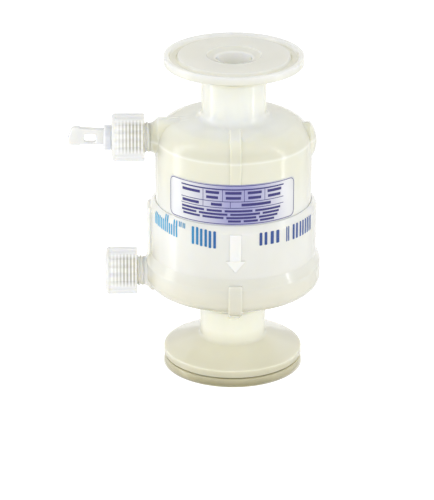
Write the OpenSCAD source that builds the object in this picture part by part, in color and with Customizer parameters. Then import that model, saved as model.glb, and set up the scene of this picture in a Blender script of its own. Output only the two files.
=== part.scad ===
// Capsule filter with sanitary clamp flanges, a vent valve and a drain cap.
// Millimetres, +Z up, origin at the centre of the outlet flange's face. The arrow faces -Y, the ports -X.

/* [Housing] */
// Outer diameter of the barrel
barrel_d = 56.8; // [52:0.2:62]
// Wall of the moulded housings
wall = 2.2; // [1.8:0.1:2.6]
// Wall of the sleeve that laps over the barrel
sleeve_wall = 1.95; // [1.5:0.05:2.6]
// How far the rim band stands out from the sleeve
rim_step = 1.5; // [1:0.1:2.4]
// Height of the sleeve above the rim band
sleeve_h = 20.2; // [18:0.1:26]
// Height of the tapered top of the sleeve
sleeve_taper_h = 2.6; // [1.5:0.1:4]
// Height of the rim band
rim_h = 11.7; // [10:0.1:15]
// Height of the tapered top of the rim band
rim_taper_h = 3.8; // [2:0.1:5]
// Rise of the bowl's underside from the neck to the rim band
bowl_h = 9.5; // [8:0.1:12]
// Height of the barrel from the sleeve to the corner of the shoulder
barrel_h = 28.8; // [27:0.1:41]
// Radius of the shoulder
shoulder_r = 8.2; // [7:0.1:10]
// Slope of the crown in degrees
crown_slope = 9; // [5:1:13]

/* [Flanges and necks] */
// Outer diameter of the clamp flanges
flange_d = 50.5; // [46:0.1:54]
// Thickness of a flange at its rim
flange_t = 2.85; // [2.4:0.05:3.4]
// Slope of a flange's back in degrees
back_slope = 20; // [15:1:24]
// Diameter of the gasket groove at its middle
groove_d = 43.6; // [41:0.1:44.5]
// Width of the gasket groove
groove_w = 3.2; // [2.4:0.1:3.6]
// Depth of the gasket groove
groove_depth = 1.2; // [0.8:0.1:1.5]
// Diameter of the inlet neck
inlet_neck_d = 23.5; // [22.5:0.1:26]
// Height from the corner of the shoulder to the inlet face
inlet_neck_h = 25.8; // [24:0.1:34]
// Diameter of the outlet neck
outlet_neck_d = 24; // [23:0.1:26]
// Height from the outlet face to the bowl
outlet_neck_h = 20; // [18:0.1:28]
// Diameter of the inlet's bore
inlet_bore_d = 12.8; // [12.4:0.1:13.4]
// Diameter of the outlet's bore
outlet_bore_d = 12; // [11:0.1:12.2]
// Diameter of the flared mouths
mouth_d = 19.4; // [16:0.1:24]
// Depth of the flared mouths
mouth_depth = 1.2; // [1:0.1:2]

/* [Raised marks] */
// Height of the raised strips and the arrow
strip_t = 0.6; // [0.3:0.1:1]
// Width of the strip and of the arrow's shaft
strip_w = 4.2; // [3:0.1:6]
// Width of the arrow's head
arrow_w = 7.1; // [6.4:0.1:9]
// Length of the arrow's head
arrow_head_h = 4.3; // [3:0.1:5]
// Gap between the arrow's tip and the rim band
arrow_gap = 3; // [2:0.1:5]
// Width of the rib under the bowl, at the rim band
rib_w = 5; // [4:0.1:7]
// Width of the rib at its foot
rib_foot_w = 3.6; // [3:0.1:4]
// How far the rib's foot stands below the bowl
rib_drop = 2.2; // [1:0.1:2.6]
// Width of the pad beside the drain
pad_w = 9; // [6:0.5:14]
// Height of the pad beside the drain
pad_t = 1.1; // [0.6:0.1:1.6]

/* [Ports] */
// Outer diameter of the port threads
thread_d = 11; // [10.4:0.1:11.6]
// Depth of the port threads
thread_depth = 0.55; // [0.4:0.05:0.7]
// Height of the vent axis above the shoulder's lower end
vent_rise = 1.5; // [1:0.1:2.4]
// Distance from the capsule's axis to the end of the vent stub
vent_reach = 40.3; // [39:0.1:46]
// Bore of the vent stub
vent_bore_d = 6.4; // [6:0.1:6.8]
// Height of the drain axis above the lower edge of the rim band
drain_rise = 3; // [2.8:0.1:4]
// Distance from the capsule's axis to the end of the drain stub
drain_reach = 43.4; // [43:0.1:49]
// Bore of the drain stub
drain_bore_d = 4; // [3:0.1:4.4]
// How far the blanked port stands out from the barrel
blank_t = 1.7; // [1:0.1:2.4]
// Diameter of the blanked port
blank_d = 13.4; // [11:0.1:14]

/* [Nuts] */
// Outer diameter of the nut and the cap
nut_d = 17.2; // [16:0.1:20]
// Length of the nut and the cap
nut_len = 12; // [10:0.1:12.4]
// Number of grip flutes
flute_count = 16; // [12:1:20]
// Depth of the grip flutes
flute_depth = 0.55; // [0.3:0.05:0.7]
// End wall of the nut and the cap
nut_end_t = 2.2; // [1.8:0.1:2.6]
// Diameter of the collar on the vent nut
collar_d = 9; // [8.6:0.1:11]
// Length of the collar on the vent nut
collar_len = 2.6; // [2:0.1:4]

/* [Vent plug and seals] */
// Diameter of the plug's stem
stem_d = 7; // [6.8:0.1:7.4]
// Thickness of the plug's flange
plug_flange_t = 1.6; // [1.2:0.1:2]
// Length of the plug's nose in the stub
nose_len = 6.4; // [5.5:0.1:7]
// Thickness of the O-ring
o_ring_t = 1.1; // [0.9:0.05:1.2]
// Length of the finger tab
tab_len = 13.6; // [12:0.1:18]
// Width of the finger tab at its grip
tab_w = 6.6; // [6.2:0.1:6.8]
// Thickness of the finger tab at its grip
tab_t = 2.6; // [2:0.1:2.8]
// Length of the finger tab's grip
grip_len = 5.3; // [4:0.1:5.6]
// How far the grip stands above the vent's axis
tab_rise = 0.75; // [0:0.05:0.8]
// Slant of the grip's end
tab_slant = 2.3; // [1:0.1:3]
// Length of the window in the finger tab
window_len = 4.4; // [3:0.1:5]
// Width of the window in the finger tab
window_w = 3.2; // [2:0.1:3.4]
// Distance from the finger tab's root to its window
window_inset = 2.6; // [2:0.1:3]
// Thickness of the drain seal
seal_t = 1.5; // [1:0.1:2]

/* [Cartridge] */
// Gap between the cage and the barrel
plenum = 1.9; // [1.6:0.1:3]
// Wall of the outer cage
cage_wall = 0.9; // [0.7:0.1:1.4]
// Wall of the inner core
core_wall = 1.4; // [1:0.1:1.8]
// Thickness of the end caps
end_cap_t = 2.5; // [2:0.1:3.5]
// Number of pleats
pleat_count = 32; // [24:1:34]
// Thickness of each pleated layer
layer_t = 0.2; // [0.1:0.05:0.2]
// Height of the lower end cap above the lower edge of the rim band
cartridge_rise = 3.5; // [3:0.1:5]

/* [Label] */
// Width of the label along the barrel
label_w = 51; // [40:0.5:56]
// Height of the label
label_h = 15.3; // [12:0.1:16]
// Height of the label's lower edge above the sleeve
label_rise = 0.3; // [0.2:0.1:2]
// Thickness of the label film
label_t = 0.15; // [0.1:0.05:0.3]
// Turn of the label's middle from the arrow in degrees
label_turn = -3; // [-8:1:8]

/* [Hidden] */

$fn = 96;
// Clearance of seated faces and of fixed joints
seat = 0.05;
// Radial clearance of the nut on the plug's stem
running = 0.1;
// Clearance of a threaded fit outside its crests
thread_clear = 0.15;
// Overlap that makes a cut or a union clean
over = 0.5;
// Steps of a rounded corner
steps = 12;
// Rounding of the flange edges
edge_r = 0.5;
// Rounding of the sleeve's corners
lip_r = 0.8;
// Thickness of the sleeve's top edge
sleeve_edge = 0.3;
// Rounding under the rim band
bowl_r = 4.5;
// Fillet between the inlet neck and the crown
crown_fillet = 3;
// Fillet of the other neck roots
neck_fillet = 1.5;
// Width of the ledge that the barrel stands on
ledge_w = 1;
// How far a port's root reaches in past the skin it stands on
stub_root = 9;
// Flare at the root of a port, and set-back of the drain's flare into the rim band
flare = 2;
drain_inset = 1;
// Reach of a cutting slab past the rim band
slab_clear = 5;
// Distance from the outlet neck to the rib's foot, and fall of the rib below the bowl at the rim band
rib_foot = 4;
rib_fall = 1.2;
// Radius of the blanked port's domed face, and fall of its middle below the vent's axis
blank_dome_r = 10.5;
blank_fall = 1.4;
// Radial clearance of the plug's flange and the drain seal in a nut
plug_clear = 0.2;
// Radial clearance of the plug's nose in the vent bore
nose_clear = 0.25;
// Room beside the O-ring in its groove
groove_clear = 0.3;
// Gap between the nut's collar and the finger tab
tab_gap = 0.3;
// How much the tab's neck and root are narrower, and how much the neck is thinner, than the grip
neck_narrow = 0.6;
root_narrow = 1.2;
neck_thin = 0.4;
// Overlap of the tab's neck with the stem and with the grip
tab_lap = 1;
// Rounding of the tab's upper and lower tips, and of its window
upper_tip_r = 2;
lower_tip_r = 1.6;
window_r = 0.8;
// Rounding and plain land at the outer end of a nut
nut_corner_r = 1.2;
flute_land = 1;
// Radius of the cutter for the grip flutes
flute_r = 1;
// Rise of the vent nut's end and of the drain cap's end
nut_crown = 0.4;
cap_crown = 0.9;
// Step from the outlet bore to the core, wall of the spigot, and depth of its socket below the bowl
core_step = 1;
spigot_wall = 1.95;
socket_drop = 3;
// Lip of an end cap round the cage
lip_wall = 0.8;
lip_h = 2;
// How far the cartridge reaches into the shoulder
cartridge_reach = 1;
// Share of a cage's wall that its windows take, up and round
window_share_h = 0.72;
window_share_w = 0.66;
// Gap between the pleated layers
layer_gap = 0.03;
// Gap under the label, and rounding of its corners
label_gap = 0.02;
label_corner_r = 2;

barrel_r = barrel_d / 2;
socket_r = barrel_r + seat;
sleeve_r = socket_r + sleeve_wall;
rim_r = sleeve_r + rim_step;
flange_r = flange_d / 2;
inlet_bore_r = inlet_bore_d / 2;
outlet_bore_r = outlet_bore_d / 2;
inlet_neck_r = inlet_neck_d / 2;
outlet_neck_r = outlet_neck_d / 2;

bowl_z = outlet_neck_h;
rim_lo = bowl_z + bowl_h;
rim_hi = rim_lo + rim_h;
sleeve_top = rim_hi + sleeve_h;
sleeve_taper_z = sleeve_top - sleeve_taper_h;
corner_z = sleeve_top + barrel_h;
crown_z = corner_z + (barrel_r - inlet_neck_r) * tan(crown_slope);
top_z = corner_z + inlet_neck_h;
// Lower end of the shoulder's curve
shoulder_z = corner_z - shoulder_r / tan(45 + crown_slope / 2);
bowl_angle = atan2(bowl_h, rim_r - outlet_neck_r);

vent_z = shoulder_z + vent_rise;
drain_z = rim_lo + drain_rise;
stub_r = thread_d / 2 - thread_depth / 2;
nut_bore_r = thread_d / 2 + thread_clear;
nut_r = nut_d / 2;
stem_r = stem_d / 2;
plug_flange_r = nut_bore_r - thread_clear - plug_clear;
vent_nut_floor = vent_reach + plug_flange_t + 2 * seat;
vent_nut_end = vent_nut_floor + nut_end_t;
drain_cap_floor = drain_reach + seal_t + 2 * seat;
drain_cap_end = drain_cap_floor + nut_end_t;

cage_r = barrel_r - wall - plenum;
core_in_r = outlet_bore_r + core_step;
core_r = core_in_r + core_wall;
spigot_r = core_in_r + spigot_wall;
cartridge_lo = rim_lo + cartridge_rise;
cartridge_hi = shoulder_z + cartridge_reach;
pack_lo = cartridge_lo + end_cap_t + seat;
pack_hi = cartridge_hi - end_cap_t - seat;
stack = 3 * layer_t + 2 * layer_gap;
fold_in = core_r + 2 * seat + stack / 2;
fold_out = cage_r - cage_wall - 2 * seat - stack / 2;
pleat_step = 360 / pleat_count;

label_r = barrel_r + label_gap;
label_lo = sleeve_top + label_rise;

natural = [0.94, 0.94, 0.89];

// Round corner at b between a and c, limited by its shorter side
function corner(a, b, c, size) =
    let (
        u = (a - b) / norm(a - b),
        v = (c - b) / norm(c - b),
        half = acos(max(-1, min(1, u * v))) / 2,
        reach = min(size / tan(half), 0.49 * norm(a - b), 0.49 * norm(c - b)),
        radius = reach * tan(half),
        centre = b + (u + v) / norm(u + v) * radius / sin(half),
        first = b + u * reach - centre,
        last = b + v * reach - centre,
        start = atan2(first.y, first.x),
        sweep = (atan2(last.y, last.x) - start + 540) % 360 - 180
    )
    [for (i = [0:steps]) centre + radius * [cos(start + sweep * i / steps), sin(start + sweep * i / steps)]];

// Outline whose points are [x, y] or [x, y, rounding]
function rounded(pts) =
    let (n = len(pts), flat = [for (p = pts) [p.x, p.y]])
    [for (i = [0:n - 1])
        let (before = flat[(i + n - 1) % n], after = flat[(i + 1) % n])
        each len(pts[i]) < 3 ? [flat[i]] : corner(before, flat[i], after, pts[i].z)];

// Flange section from the neck out to the face and in to the axis; dir is 1 for a face that looks up
function flange_points(neck_r, face_z, dir) =
    let (
        rim_z = face_z - dir * flange_t,
        floor_z = face_z - dir * groove_depth,
        groove_out = groove_d / 2 + groove_w / 2,
        groove_in = groove_d / 2 - groove_w / 2,
        side = groove_depth / 2
    )
    [
        [neck_r, rim_z - dir * (flange_r - neck_r) * tan(back_slope), neck_fillet],
        [flange_r, rim_z, edge_r],
        [flange_r, face_z, edge_r],
        [groove_out, face_z, edge_r],
        [groove_out - side, floor_z, edge_r],
        [groove_in + side, floor_z, edge_r],
        [groove_in, face_z, edge_r],
        [0, face_z]
    ];

// Flow bore with its flared mouth
function bore_points(bore_r, face_z, dir, inner_z) = [
    [0, face_z + dir * over],
    [mouth_d / 2 + edge_r, face_z + dir * over],
    [mouth_d / 2, face_z - dir * edge_r, edge_r],
    [bore_r, face_z - dir * mouth_depth, edge_r],
    [bore_r, inner_z],
    [0, inner_z]
];

// Height of the crown's outer face at radius r
function crown_at(r) = corner_z + (barrel_r - r) * tan(crown_slope);
// Height of the bowl's inner floor at radius r
function floor_at(r) = bowl_z + (r - outlet_neck_r) * tan(bowl_angle) + wall / cos(bowl_angle);

// Port frame: local Z runs outward from the capsule's axis along -X, local X runs up
module on_port(z) {
    translate([0, 0, z]) rotate([0, -90, 0]) children();
}

// Thin slab in front of the axis, for cutting a raised strip out of a revolved skin
module front_slab(width, from_r, z_lo, z_hi) {
    far = rim_r + slab_clear;
    translate([-width / 2, -far, z_lo]) cube([width, far - from_r, z_hi - z_lo]);
}

// Port stub with a flared root, along local Z
module port_stub(root_r, reach) {
    rotate_extrude() polygon(rounded([
        [0, root_r - stub_root],
        [stub_r + flare, root_r - stub_root],
        [stub_r + flare, root_r - flare / 2],
        [stub_r, root_r + flare / 2, flare],
        [stub_r, reach, edge_r],
        [0, reach]
    ]));
}

// Head

module head_skin(grow) {
    rotate_extrude() polygon(rounded([
        [0, label_lo + label_h],
        [barrel_r + grow, label_lo + label_h],
        [barrel_r + grow, corner_z + grow, shoulder_r + grow],
        [inlet_neck_r, crown_z + grow],
        [0, crown_z + grow]
    ]));
}

module head_outside() {
    rotate_extrude() polygon(rounded(concat(
        [
            [0, rim_hi + seat],
            [barrel_r, rim_hi + seat, edge_r],
            [barrel_r, corner_z, shoulder_r],
            [inlet_neck_r, crown_z, crown_fillet]
        ],
        flange_points(inlet_neck_r, top_z, 1)
    )));
    on_port(vent_z) port_stub(barrel_r, vent_reach);
    mirror([1, 0, 0]) on_port(vent_z - blank_fall) blank_port();
    intersection() {
        head_skin(strip_t);
        front_slab(strip_w, inlet_neck_r + crown_fillet, label_lo + label_h, crown_z + strip_t);
    }
}

// Domed button where the second port is blanked off, along local Z
module blank_port() {
    centre = barrel_r + blank_t - blank_dome_r;
    spread = asin(blank_d / 2 / blank_dome_r);
    dome = [for (i = [0:steps])
        let (a = spread * (1 - i / steps))
        [blank_dome_r * sin(a), centre + blank_dome_r * cos(a)]];
    rotate_extrude() polygon(concat(
        [
            [0, barrel_r - stub_root],
            [blank_d / 2, barrel_r - stub_root]
        ],
        dome
    ));
}

module head_inside() {
    inner_r = barrel_r - wall;
    drop = wall / cos(crown_slope);
    rotate_extrude() polygon(rounded([
        [0, rim_hi - over],
        [inner_r, rim_hi - over],
        [inner_r, crown_at(inner_r) - drop, shoulder_r - wall],
        [inlet_bore_r, crown_at(inlet_bore_r) - drop, edge_r],
        [inlet_bore_r, crown_at(inlet_bore_r) + over],
        [0, crown_at(inlet_bore_r) + over]
    ]));
    rotate_extrude() polygon(rounded(bore_points(inlet_bore_r, top_z, 1, crown_at(inlet_bore_r))));
    on_port(vent_z) translate([0, 0, barrel_r - stub_root]) cylinder(h = vent_reach, d = vent_bore_d);
}

module inlet_head() {
    color(natural) difference() {
        head_outside();
        head_inside();
    }
}

// Bowl

// Gusset from the outlet neck to the rim band, narrower at its foot
module rib() {
    front = rim_r + strip_t;
    foot_r = outlet_neck_r + rib_foot;
    foot_z = bowl_z + rib_foot * tan(bowl_angle) - rib_drop;
    upper_z = rim_hi - rim_taper_h / 2;
    intersection() {
        rotate([90, 0, -90]) linear_extrude(rib_w, center = true) polygon(rounded([
            [outlet_neck_r, foot_z],
            [foot_r, foot_z, edge_r],
            [front, rim_lo - rib_fall, bowl_r],
            [front, upper_z, edge_r],
            [outlet_neck_r, upper_z]
        ]));
        linear_extrude(rim_hi) polygon([
            [-rib_w / 2, -front],
            [rib_w / 2, -front],
            [rib_foot_w / 2, -foot_r],
            [rib_foot_w / 2, 0],
            [-rib_foot_w / 2, 0],
            [-rib_foot_w / 2, -foot_r]
        ]);
    }
}

module arrow() {
    tip_z = rim_hi + arrow_gap;
    neck_z = tip_z + arrow_head_h;
    rotate([90, 0, 0]) linear_extrude(rim_r) polygon([
        [0, tip_z],
        [arrow_w / 2, neck_z],
        [strip_w / 2, neck_z],
        [strip_w / 2, sleeve_taper_z],
        [-strip_w / 2, sleeve_taper_z],
        [-strip_w / 2, neck_z],
        [-arrow_w / 2, neck_z]
    ]);
}

module sleeve_skin(grow) {
    translate([0, 0, rim_hi]) cylinder(h = sleeve_h - sleeve_taper_h, r = sleeve_r + grow);
}

module bowl_outside() {
    rotate_extrude() polygon(rounded(concat(
        [
            [0, sleeve_top],
            [socket_r + sleeve_edge, sleeve_top],
            [sleeve_r, sleeve_taper_z, lip_r],
            [sleeve_r, rim_hi, lip_r],
            [rim_r, rim_hi - rim_taper_h, 2 * lip_r],
            [rim_r, rim_lo, bowl_r],
            [outlet_neck_r, bowl_z, neck_fillet]
        ],
        flange_points(outlet_neck_r, 0, -1)
    )));
    on_port(drain_z) port_stub(rim_r - drain_inset, drain_reach);
    intersection() {
        sleeve_skin(strip_t);
        arrow();
    }
    rib();
    intersection() {
        sleeve_skin(pad_t);
        translate([-rim_r - slab_clear, -pad_w / 2, rim_hi]) cube([rim_r, pad_w, sleeve_h]);
    }
}

module bowl_inside() {
    inner_r = barrel_r - ledge_w;
    spigot_hole_r = spigot_r + seat;
    rotate_extrude() polygon(rounded([
        [0, sleeve_top + over],
        [socket_r, sleeve_top + over],
        [socket_r, rim_hi],
        [inner_r, rim_hi],
        [inner_r, floor_at(inner_r), bowl_r - wall],
        [spigot_hole_r, floor_at(spigot_hole_r)],
        [spigot_hole_r, bowl_z - socket_drop],
        [0, bowl_z - socket_drop]
    ]));
    rotate_extrude() polygon(rounded(bore_points(outlet_bore_r, 0, -1, bowl_z - socket_drop + over)));
    on_port(drain_z) translate([0, 0, rim_r - stub_root]) cylinder(h = drain_reach, d = drain_bore_d);
}

module outlet_bowl() {
    color(natural) difference() {
        bowl_outside();
        bowl_inside();
    }
}

// Label, its flat outline wrapped round the barrel

module rating_label() {
    half_w = label_w / 2;
    flat = rounded([
        [-half_w, label_lo, label_corner_r],
        [half_w, label_lo, label_corner_r],
        [half_w, label_lo + label_h, label_corner_r],
        [-half_w, label_lo + label_h, label_corner_r]
    ]);
    wrapped = [for (p = flat) [label_r * sin(p.x / label_r * 180 / PI), p.y]];
    color("white") rotate([0, 0, label_turn]) intersection() {
        rotate([90, 0, 0]) linear_extrude(barrel_d) polygon(wrapped);
        translate([0, 0, label_lo]) difference() {
            cylinder(h = label_h, r = label_r + label_t);
            translate([0, 0, -over]) cylinder(h = label_h + 2 * over, r = label_r);
        }
    }
}

// Nut and cap

module flutes(from, length) {
    for (i = [0:flute_count - 1])
        rotate([0, 0, (i + 0.5) * 360 / flute_count])
            translate([nut_r + flute_r - flute_depth, 0, from]) cylinder(h = length, r = flute_r);
}

module nut_blank(end, crown) {
    open_end = end - nut_len;
    difference() {
        rotate_extrude() polygon(rounded([
            [0, open_end],
            [nut_r, open_end, edge_r],
            [nut_r, end - crown, nut_corner_r],
            [collar_d / 2, end],
            [0, end]
        ]));
        flutes(open_end - over, nut_len - crown - flute_land + over);
    }
}

module vent_nut() {
    color(natural) on_port(vent_z) difference() {
        union() {
            nut_blank(vent_nut_end, nut_crown);
            rotate_extrude() polygon(rounded([
                [0, vent_nut_end - over],
                [collar_d / 2, vent_nut_end - over],
                [collar_d / 2, vent_nut_end + collar_len, edge_r],
                [0, vent_nut_end + collar_len]
            ]));
        }
        translate([0, 0, vent_nut_end - nut_len - over])
            cylinder(h = vent_nut_floor - vent_nut_end + nut_len + over, r = nut_bore_r);
        cylinder(h = vent_nut_end + collar_len + over, r = stem_r + running);
    }
}

module drain_cap() {
    color(natural) on_port(drain_z) difference() {
        nut_blank(drain_cap_end, cap_crown);
        translate([0, 0, drain_cap_end - nut_len - over])
            cylinder(h = drain_cap_floor - drain_cap_end + nut_len + over, r = nut_bore_r);
    }
}

module drain_seal() {
    color("gainsboro") on_port(drain_z)
        translate([0, 0, drain_reach + seat]) cylinder(h = seal_t, r = plug_flange_r);
}

// Vent plug

module finger_tab(from) {
    neck_w = tab_w - neck_narrow;
    root_w = tab_w - root_narrow;
    neck_t = tab_t - neck_thin;
    root_rise = tab_rise / 2;
    grip_from = from + tab_len - grip_len;
    grip_to = from + tab_len;
    window_from = from + window_inset;
    window_to = window_from + window_len;
    difference() {
        union() {
            plate(neck_t) polygon([
                [root_rise - root_w / 2, from - tab_lap],
                [root_rise + root_w / 2, from - tab_lap],
                [tab_rise + neck_w / 2, grip_from + tab_lap],
                [tab_rise - neck_w / 2, grip_from + tab_lap]
            ]);
            plate(tab_t) polygon(rounded([
                [tab_rise - tab_w / 2, grip_from, edge_r],
                [tab_rise + tab_w / 2, grip_from, edge_r],
                [tab_rise + tab_w / 2, grip_to - tab_slant, upper_tip_r],
                [tab_rise - tab_w / 2, grip_to, lower_tip_r]
            ]));
        }
        plate(2 * tab_t) polygon(rounded([
            [-window_w / 2, window_from, window_r],
            [window_w / 2, window_from, window_r],
            [window_w / 2, window_to, window_r],
            [-window_w / 2, window_to, window_r]
        ]));
    }
}

// Plate across the port's axis, its outline in local X and Z
module plate(thickness) {
    translate([0, thickness / 2, 0]) rotate([90, 0, 0]) linear_extrude(thickness) children();
}

module vent_plug() {
    nose_r = vent_bore_d / 2 - nose_clear;
    groove_r = vent_bore_d / 2 - o_ring_t - 2 * seat;
    groove_half = o_ring_t / 2 + groove_clear;
    ring_z = vent_reach - nose_len / 2;
    flange_lo = vent_reach + seat;
    flange_hi = flange_lo + plug_flange_t;
    tab_from = vent_nut_end + collar_len + tab_gap;
    color(natural) on_port(vent_z) {
        rotate_extrude() polygon(rounded([
            [0, vent_reach - nose_len],
            [nose_r, vent_reach - nose_len, edge_r],
            [nose_r, ring_z - groove_half],
            [groove_r, ring_z - groove_half],
            [groove_r, ring_z + groove_half],
            [nose_r, ring_z + groove_half],
            [nose_r, flange_lo],
            [plug_flange_r, flange_lo],
            [plug_flange_r, flange_hi],
            [stem_r, flange_hi],
            [stem_r, tab_from],
            [0, tab_from]
        ]));
        finger_tab(tab_from);
    }
}

module vent_o_ring() {
    ring_r = vent_bore_d / 2 - seat - o_ring_t / 2;
    color("gainsboro") on_port(vent_z) translate([0, 0, vent_reach - nose_len / 2])
        rotate_extrude() translate([ring_r, 0]) circle(d = o_ring_t);
}

// Cartridge

module upper_end_cap() {
    lip_r_in = cage_r + seat;
    color("white") rotate_extrude() polygon(rounded([
        [0, cartridge_hi - end_cap_t],
        [lip_r_in, cartridge_hi - end_cap_t],
        [lip_r_in, cartridge_hi - end_cap_t - lip_h],
        [lip_r_in + lip_wall, cartridge_hi - end_cap_t - lip_h],
        [lip_r_in + lip_wall, cartridge_hi, edge_r],
        [0, cartridge_hi]
    ]));
}

module lower_end_cap() {
    lip_r_in = cage_r + seat;
    foot_z = bowl_z - socket_drop + seat;
    color("white") rotate_extrude() polygon(rounded([
        [core_in_r, foot_z],
        [spigot_r, foot_z],
        [spigot_r, cartridge_lo],
        [lip_r_in + lip_wall, cartridge_lo, edge_r],
        [lip_r_in + lip_wall, cartridge_lo + end_cap_t + lip_h],
        [lip_r_in, cartridge_lo + end_cap_t + lip_h],
        [lip_r_in, cartridge_lo + end_cap_t],
        [core_in_r, cartridge_lo + end_cap_t]
    ]));
}

// Tube between the end caps with rows of windows, each cut through both sides
module windowed_tube(r, thickness, columns, rows) {
    tube_h = pack_hi - pack_lo;
    row_h = (tube_h - 2 * lip_h) / rows;
    pane_h = row_h * window_share_h;
    pane_w = 2 * PI * r / columns * window_share_w;
    difference() {
        translate([0, 0, pack_lo]) cylinder(h = tube_h, r = r);
        translate([0, 0, pack_lo - over]) cylinder(h = tube_h + 2 * over, r = r - thickness);
        for (row = [0:rows - 1], column = [0:columns / 2 - 1])
            translate([0, 0, pack_lo + lip_h + (row + 0.5) * row_h])
                rotate([0, 0, (column + 0.5) * 360 / columns])
                    cube([2 * r + 2 * over, pane_w, pane_h], center = true);
    }
}

module outer_cage() {
    color("white") windowed_tube(cage_r, cage_wall, 12, 7);
}

module inner_core() {
    color("white") windowed_tube(core_r, core_wall, 6, 8);
}

function polar(r, a) = r * [cos(a), sin(a)];
function arc_angle(length, r) = length / r * 180 / PI;

// Closed zigzag of the pleats, set off outward from the middle of the stack
function pleat_path(shift) =
    let (
        half_out = PI * fold_out / pleat_count / 2 + shift,
        half_in = PI * fold_in / pleat_count / 2 - shift,
        out_a = arc_angle(half_out, fold_out),
        in_a = arc_angle(half_in, fold_in)
    )
    [for (i = [0:pleat_count - 1])
        let (peak = i * pleat_step, valley = peak + pleat_step / 2)
        each [
            polar(fold_out + shift, peak - out_a),
            polar(fold_out + shift, peak + out_a),
            polar(fold_in + shift, valley - in_a),
            polar(fold_in + shift, valley + in_a)
        ]];

module pleated_layer(index) {
    inside = -stack / 2 + index * (layer_t + layer_gap);
    translate([0, 0, pack_lo]) linear_extrude(pack_hi - pack_lo) difference() {
        polygon(pleat_path(inside + layer_t));
        polygon(pleat_path(inside));
    }
}

module upstream_fleece() {
    color("whitesmoke") pleated_layer(2);
}

module membrane() {
    color("white") pleated_layer(1);
}

module downstream_fleece() {
    color("whitesmoke") pleated_layer(0);
}

inlet_head();
outlet_bowl();
rating_label();
vent_plug();
vent_o_ring();
vent_nut();
drain_seal();
drain_cap();
upper_end_cap();
lower_end_cap();
outer_cage();
inner_core();
upstream_fleece();
membrane();
downstream_fleece();
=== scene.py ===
import math

import bmesh
import bpy
from mathutils import Matrix, Vector


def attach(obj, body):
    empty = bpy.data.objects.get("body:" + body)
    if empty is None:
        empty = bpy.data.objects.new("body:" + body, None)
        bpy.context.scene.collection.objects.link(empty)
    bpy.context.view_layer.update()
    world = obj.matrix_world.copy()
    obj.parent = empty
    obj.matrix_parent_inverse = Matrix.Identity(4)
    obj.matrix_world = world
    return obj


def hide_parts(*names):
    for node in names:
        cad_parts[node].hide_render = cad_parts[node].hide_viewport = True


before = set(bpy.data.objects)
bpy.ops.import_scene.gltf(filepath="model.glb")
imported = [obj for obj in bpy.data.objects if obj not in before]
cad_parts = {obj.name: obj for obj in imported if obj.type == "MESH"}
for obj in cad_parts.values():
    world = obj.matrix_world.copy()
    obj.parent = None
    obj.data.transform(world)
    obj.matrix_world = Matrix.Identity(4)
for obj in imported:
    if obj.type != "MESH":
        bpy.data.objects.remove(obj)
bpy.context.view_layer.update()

MM = 0.001

# Sizes in millimetres, as in the CAD source
BARREL_R = 28.4
WALL = 2.2
SOCKET_R = 28.45
SLEEVE_R = 30.4
RIM_R = 31.9
FLANGE_R = 25.25
INLET_BORE_R = 6.4
OUTLET_BORE_R = 6.0
INLET_NECK_R = 11.75
OUTLET_NECK_R = 12.0
SPIGOT_HOLE_R = 9.0
SEAT = 0.05
EDGE = 0.5
BOWL_Z = 20.0
RIM_LO = 29.5
RIM_HI = 41.2
RIM_TAPER = 3.8
SLEEVE_TOP = 61.4
SLEEVE_TAPER_Z = 58.8
SLEEVE_EDGE_R = 28.75
CORNER_Z = 90.2
SHOULDER_R = 8.2
CROWN_ANGLE = math.radians(9)
CROWN_SLOPE = math.tan(CROWN_ANGLE)
CROWN_Z = CORNER_Z + (BARREL_R - INLET_NECK_R) * CROWN_SLOPE
TOP_Z = 116.0
FLANGE_T = 2.85
BACK_SLOPE = math.tan(math.radians(20))
BOWL_ANGLE = math.atan2(RIM_LO - BOWL_Z, RIM_R - OUTLET_NECK_R)
SHOULDER_HALF = math.radians(49.5)
VENT_Z = CORNER_Z - SHOULDER_R / math.tan(SHOULDER_HALF) + 1.5
BLANK_Z = VENT_Z - 1.4
BLANK_R = 6.7
BLANK_DOME_R = 10.5
BLANK_LIFT = 1.7
DRAIN_Z = 32.5
VENT_REACH = 40.3
DRAIN_REACH = 43.4
STUB_R = 5.225
THREAD_HALF = 0.275
PITCH = 1.25
NUT_R = 8.6
NUT_BORE_R = 5.65
NUT_LEN = 12.0
COLLAR_R = 4.5
STEM_R = 3.5
VENT_BORE_R = 3.2
VENT_BORE_FROM, VENT_BORE_TO = 19.4, 45.0
DRAIN_BORE_R = 2.0
DRAIN_BORE_FROM, DRAIN_BORE_TO = 22.9, 48.0
GROOVE_DEPTH = 1.2
GROOVE_OUT_R, GROOVE_OUT_FLOOR_R = 23.4, 22.8
GROOVE_IN_R, GROOVE_IN_FLOOR_R = 20.2, 20.8
MOUTH_R, MOUTH_STEP_R = 9.9, 9.7
MOUTH_STEP = 0.35
MOUTH_DEPTH = 1.2
NECK_FILLET = 1.5
STRIP_END_R = 14.75
STRIP_HALF = 2.1
BAND_LIFT = 0.6
SOFT_EDGE = 0.25
LABEL_LO = 61.7
LABEL_H = 15.3
LABEL_TOP = LABEL_LO + LABEL_H
LABEL_W = 51.0
LABEL_CORNER = 2.4
LABEL_R = 28.57
LABEL_TURN = -3.0

# How far parts of a joint reach into each other, and the facets of round parts
ROOT_SINK = 9
BAND_SINK = 0.8
SHELL_SEGS = 160
NUT_SEGS = 224
ARC_STEPS = 8


# Sections

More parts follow.
